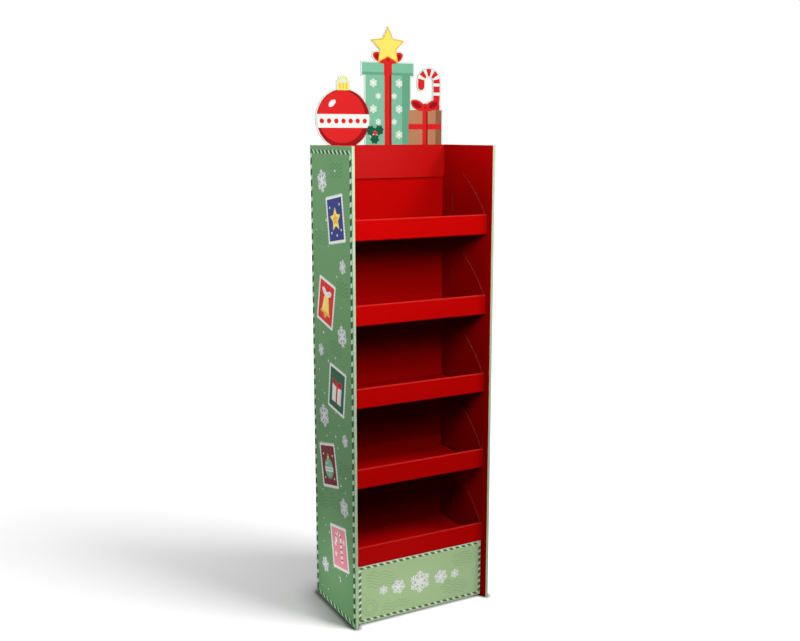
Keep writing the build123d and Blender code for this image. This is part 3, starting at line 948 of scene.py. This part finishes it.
def print_header():
    """The picture on the header: a tall gift with a star, a bauble, a parcel, a striped cane and holly."""
    origin = (0, HEADER_LOW.y, CABINET_TOP)
    sheet = PrintedSheet("header_print", "header_board", origin, (1, 0, 0), (0, 0, 1))
    reds = ("red", "deep_red")
    draw_gift(sheet, 1, BOX_X, 0, BOX_WIDTH, BOX_HEIGHT, "mint", "deep_mint", *reds)
    for row in range(BOX_FLAKE_ROWS):
        level, radius = BOX_FLAKE_LOW + row * BOX_FLAKE_PITCH, BOX_FLAKE_RADII[row % 2]
        spread = BOX_WIDTH * BOX_FLAKE_SPREADS[row % 2]
        for reach in (-spread, spread - BOX_SHADE_ROOM):
            draw_snowflake(sheet, "white", 3, BOX_X + reach, level, radius)
    lid_middle = BOX_HEIGHT + LID_HEIGHT / 2
    lid_shade = LID_SHADE_SHARE * LID_HEIGHT
    sheet.bar("deep_mint", 2, BOX_X, lid_middle, LID_WIDTH, LID_HEIGHT)
    sheet.bar("mint", 3, BOX_X, lid_middle + lid_shade / 2, LID_WIDTH, LID_HEIGHT - lid_shade)
    sheet.bar("red", 4, BOX_X, lid_middle, LID_RIBBON_SHARE * BOX_WIDTH, LID_HEIGHT)
    draw_bow(sheet, 5, BOX_X, BOX_HEIGHT + LID_HEIGHT + BOW_WIDTH / 2, BOW_LENGTH, *reds)
    for layer, ink, share in ((8, "amber", 1.0), (9, "yellow", STAR_FACE_SHARE)):
        sheet.star(ink, layer, BOX_X, STAR_Z, STAR_RADIUS * share, STAR_TIPS, STAR_WAIST_SHARE)
    draw_cane(sheet, 4, CANE_X, 0, CANE_HEIGHT, CANE_HOOK, CANE_DROP, CANE_WIDTH, "red", "white")
    draw_gift(sheet, 6, PARCEL_X, 0, PARCEL_WIDTH, PARCEL_HEIGHT, "brown", "deep_brown", *reds)
    band_level, band = PARCEL_BAND_SHARE * PARCEL_HEIGHT, RIBBON_SHARE * PARCEL_HEIGHT
    sheet.bar("red", 8, PARCEL_X, band_level, PARCEL_WIDTH, band)
    draw_bow(sheet, 10, PARCEL_X, PARCEL_HEIGHT + BOW_WIDTH / 2, BOW_LENGTH, *reds)
    draw_bauble(sheet, 5, BAUBLE_X, BAUBLE_Z, BAUBLE_RADIUS, -BAUBLE_Z, *reds, "yellow", "amber")
    draw_holly(sheet, 10, HOLLY_X, HOLLY_Z, HOLLY_SIZE)
    return sheet


# Stage: floor, light and camera

# Each soft lamp: place, point it is aimed at, width and height of its face, watts
UNIT_LAMPS = {
    "key_lamp": ((3.0, -4.2, 6.0), (0.0, 0.0, 0.8), (2.4, 2.4), 235.0),
    "front_lamp": ((-0.3, -1.7, 1.9), (0.0, 0.0, 1.0), (0.8, 0.8), 8.9),
    "close_lamp": ((-0.28, -1.15, 1.75), (0.0, 0.0, 1.1), (0.6, 0.6), 11.4),
    "kick_lamp": ((-0.08, -0.42, 0.04), (-0.04, -0.14, 0.06), (0.6, 0.05), 0.44),
    "side_lamp": ((-1.5, 0.12, 1.5), (-0.23, 0.0, 0.9), (0.8, 0.8), 15.2),
    "foot_lamp": ((-0.46, 0.0, 0.05), (-0.23, 0.0, 0.05), (0.3, 0.3), 0.66),
    "right_lamp": ((2.4, 0.3, 1.9), (0.23, 0.0, 0.8), (1.0, 1.0), 30.0),
    "rear_lamp": ((0.7, 2.6, 1.5), (0.0, 0.14, 0.9), (1.2, 1.2), 60.0),
}
FLOOR_LAMP = ((1.94, -2.12, 2.59), (0.0, 0.0, 0.0), (2.1, 2.1), 261.0)
LAMP_BOUNCES = 0
GAUSS_SHARE = 1 / math.sqrt(3)
SKY_START = 0.25
SKY_RISE = 0.07
FLOOR_HALF = 30.0
FLOOR_TONE = 0.8
FLOOR_BOUNCE = 0.03
FLOOR_WHITE = 1.24
# Painted shade on the floor near the unit, from ambient occlusion: reach and power of the contact line and
# of the wider shade
PAINTED_CONTACT_REACH = 0.02
PAINTED_CONTACT_POWER = 3.0
PAINTED_SHADE_REACH = 0.1
PAINTED_SHADE_POWER = 1.5

# The photograph's viewpoint: millimetres of lens and sensor, place, tilt down and turn to the right
CAMERA_LENS, CAMERA_SENSOR = 44.634, 36.0
CAMERA_PLACE = (-1.3729, -2.5886, 1.4339)
CAMERA_TILT, CAMERA_TURN = math.radians(10.683), math.radians(27.819)


def lamp_turn(place, aim):
    return (Vector(aim) - Vector(place)).to_track_quat("-Z", "Y")


def lamp_light(wiring, vector, place, aim, face, watts):
    """The light that a lamp sends to a point of the floor, as the brightness of the floor there.

    Four points of the lamp's face stand for the whole of it.
    """
    turn = lamp_turn(place, aim)
    ahead = turn @ Vector((0, 0, -1))
    total = 0.0
    for across in (-GAUSS_SHARE, GAUSS_SHARE):
        for along in (-GAUSS_SHARE, GAUSS_SHARE):
            point = Vector(place) + turn @ Vector((across * face[0] / 2, along * face[1] / 2, 0))
            reach = wiring.between("SUBTRACT", vector, point)["Vector"]
            length = wiring.between("LENGTH", reach)["Value"]
            depth = wiring.math("MAXIMUM", wiring.between("DOT_PRODUCT", reach, ahead)["Value"], 0.0)
            fall = wiring.math("DIVIDE", depth, wiring.math("POWER", length, 4.0))
            strength = FLOOR_TONE * watts / 4 * point.z / math.pi**2
            total = wiring.add_share(fall, strength, total)
    return total


def sky_light():
    """The light of the open sky on the floor, as the brightness of the floor."""
    rise = (1 - SKY_START**3) / 3 - SKY_START * (1 - SKY_START**2) / 2
    return FLOOR_TONE * 2 * SKY_RISE * rise


def grey(tone):
    return (tone, tone, tone, 1)


def seen_directly(wiring):
    """1 for the rays that draw the picture, straight from the camera or by way of gloss or glass."""
    path = wiring.node("ShaderNodeLightPath").outputs
    return wiring.either(path["Is Camera Ray"], path["Is Glossy Ray"], path["Is Transmission Ray"])


def make_floor():
    """A floor that stays white where its lamp falls off, with a soft shadow, and painted shade from ambient
    occlusion: a dark line of contact and a wider darkening near the unit.
    """
    bm = bmesh.new()
    bmesh.ops.create_grid(bm, x_segments=1, y_segments=1, size=FLOOR_HALF)
    mesh = bpy.data.meshes.new("floor")
    bm.to_mesh(mesh)
    bm.free()
    floor = new_object("floor", mesh)
    material, wiring, shader = new_material("floor_white")
    material.node_tree.nodes.remove(shader)
    vector, _ = wiring.place()
    glow = wiring.less(FLOOR_WHITE - sky_light(), lamp_light(wiring, vector, *FLOOR_LAMP))
    # painted shade: ambient occlusion darkens the floor's glow and tone near the unit, as a painted line of
    # contact and a wider painted shade
    nearby, around = (
        wiring.node("ShaderNodeAmbientOcclusion", {"Distance": reach}).outputs["AO"]
        for reach in (PAINTED_CONTACT_REACH, PAINTED_SHADE_REACH)
    )
    painted_contact_shade = wiring.math("POWER", nearby, PAINTED_CONTACT_POWER)
    shade = wiring.math("POWER", around, PAINTED_SHADE_POWER)
    tone = wiring.mix(painted_contact_shade, grey(0), grey(FLOOR_TONE))
    strength = wiring.both(glow, painted_contact_shade, shade)
    emission = wiring.node("ShaderNodeEmission", {"Color": grey(1), "Strength": strength}).outputs[0]
    bright = wiring.node("ShaderNodeBsdfDiffuse", {"Color": tone}).outputs[0]
    both = wiring.node("ShaderNodeAddShader", {0: emission, 1: bright}).outputs[0]
    dim = wiring.node("ShaderNodeBsdfDiffuse", {"Color": grey(FLOOR_BOUNCE)}).outputs[0]
    chosen = wiring.node("ShaderNodeMixShader", {"Fac": seen_directly(wiring), 1: dim, 2: both}).outputs[0]
    wiring.feed(material.node_tree.nodes["Material Output"].inputs["Surface"], chosen)
    mesh.materials.append(material)
    return floor


def make_world():
    """White to the camera, and a soft sky that is brighter overhead for the light on the object."""
    world = bpy.data.worlds.new("studio")
    bpy.context.scene.world = world
    world.use_nodes = True
    wiring = Wiring(world.node_tree)
    background = world.node_tree.nodes["Background"]
    vector = wiring.node("ShaderNodeTexCoord").outputs["Generated"]
    height = wiring.node("ShaderNodeSeparateXYZ", {"Vector": vector}).outputs["Z"]
    climb = wiring.math("MAXIMUM", wiring.less(height, SKY_START), 0.0)
    sky = wiring.math("MULTIPLY", climb, SKY_RISE)
    wiring.feed(background.inputs["Color"], grey(1))
    wiring.feed(background.inputs["Strength"], wiring.blend(seen_directly(wiring), sky, 1.0))


def make_lamp(name, place, aim, face, watts, floor, reach):
    """One flat soft lamp; reach says whether the floor is all that it lights, or all that it spares."""
    data = bpy.data.lights.new(name, "AREA")
    data.shape = "RECTANGLE"
    data.size, data.size_y = face
    data.energy = watts
    data.cycles.max_bounces = LAMP_BOUNCES
    lamp = new_object(name, data)
    lamp.visible_camera = False
    lamp.location = place
    lamp.rotation_euler = lamp_turn(place, aim).to_euler()
    lit = bpy.data.collections.new(name + "_reach")
    lit.objects.link(floor)
    lit.collection_objects[0].light_linking.link_state = reach
    lamp.light_linking.receiver_collection = lit


def make_lamps(floor):
    """Soft lamps round the unit, and one more that throws the unit's shadow on the floor."""
    for name, setting in UNIT_LAMPS.items():
        make_lamp(name, *setting, floor, "EXCLUDE")
    make_lamp("floor_lamp", *FLOOR_LAMP, floor, "INCLUDE")


def make_camera():
    """The photograph's viewpoint."""
    data = bpy.data.cameras.new("camera")
    data.sensor_fit = "HORIZONTAL"
    data.sensor_width = CAMERA_SENSOR
    data.lens = CAMERA_LENS
    camera = new_object("camera", data)
    camera.location = CAMERA_PLACE
    camera.rotation_euler = (math.pi / 2 - CAMERA_TILT, 0, -CAMERA_TURN)
    bpy.context.scene.camera = camera


# The finished unit


def dress(names, material):
    for name in names:
        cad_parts[name].material_slots[0].material = material


dress(["body_wrap"], body_board())
dress(TRAY_NAMES, tray_board())
dress(["header_card"], header_board())
dress(["plinth"], plinth_board())
dress(BASE_NAMES, single_board("plain_board", PLAIN_GLOSS, LINER_FINISH))

ink_materials = {}
for ink, colour in INKS.items():
    ink_materials[ink] = single_board("ink_" + ink, INK_GLOSS, PRINT_FINISH, Ink=linear(colour))

for sheet in (
    print_side("left_print", -HALF_WIDTH, 1),
    print_side("right_print", HALF_WIDTH, -1),
    print_plinth(),
    print_header(),
):
    sheet.finish(ink_materials)

make_world()
make_lamps(make_floor())
make_camera()
bpy.context.scene.view_settings.view_transform = "Standard"
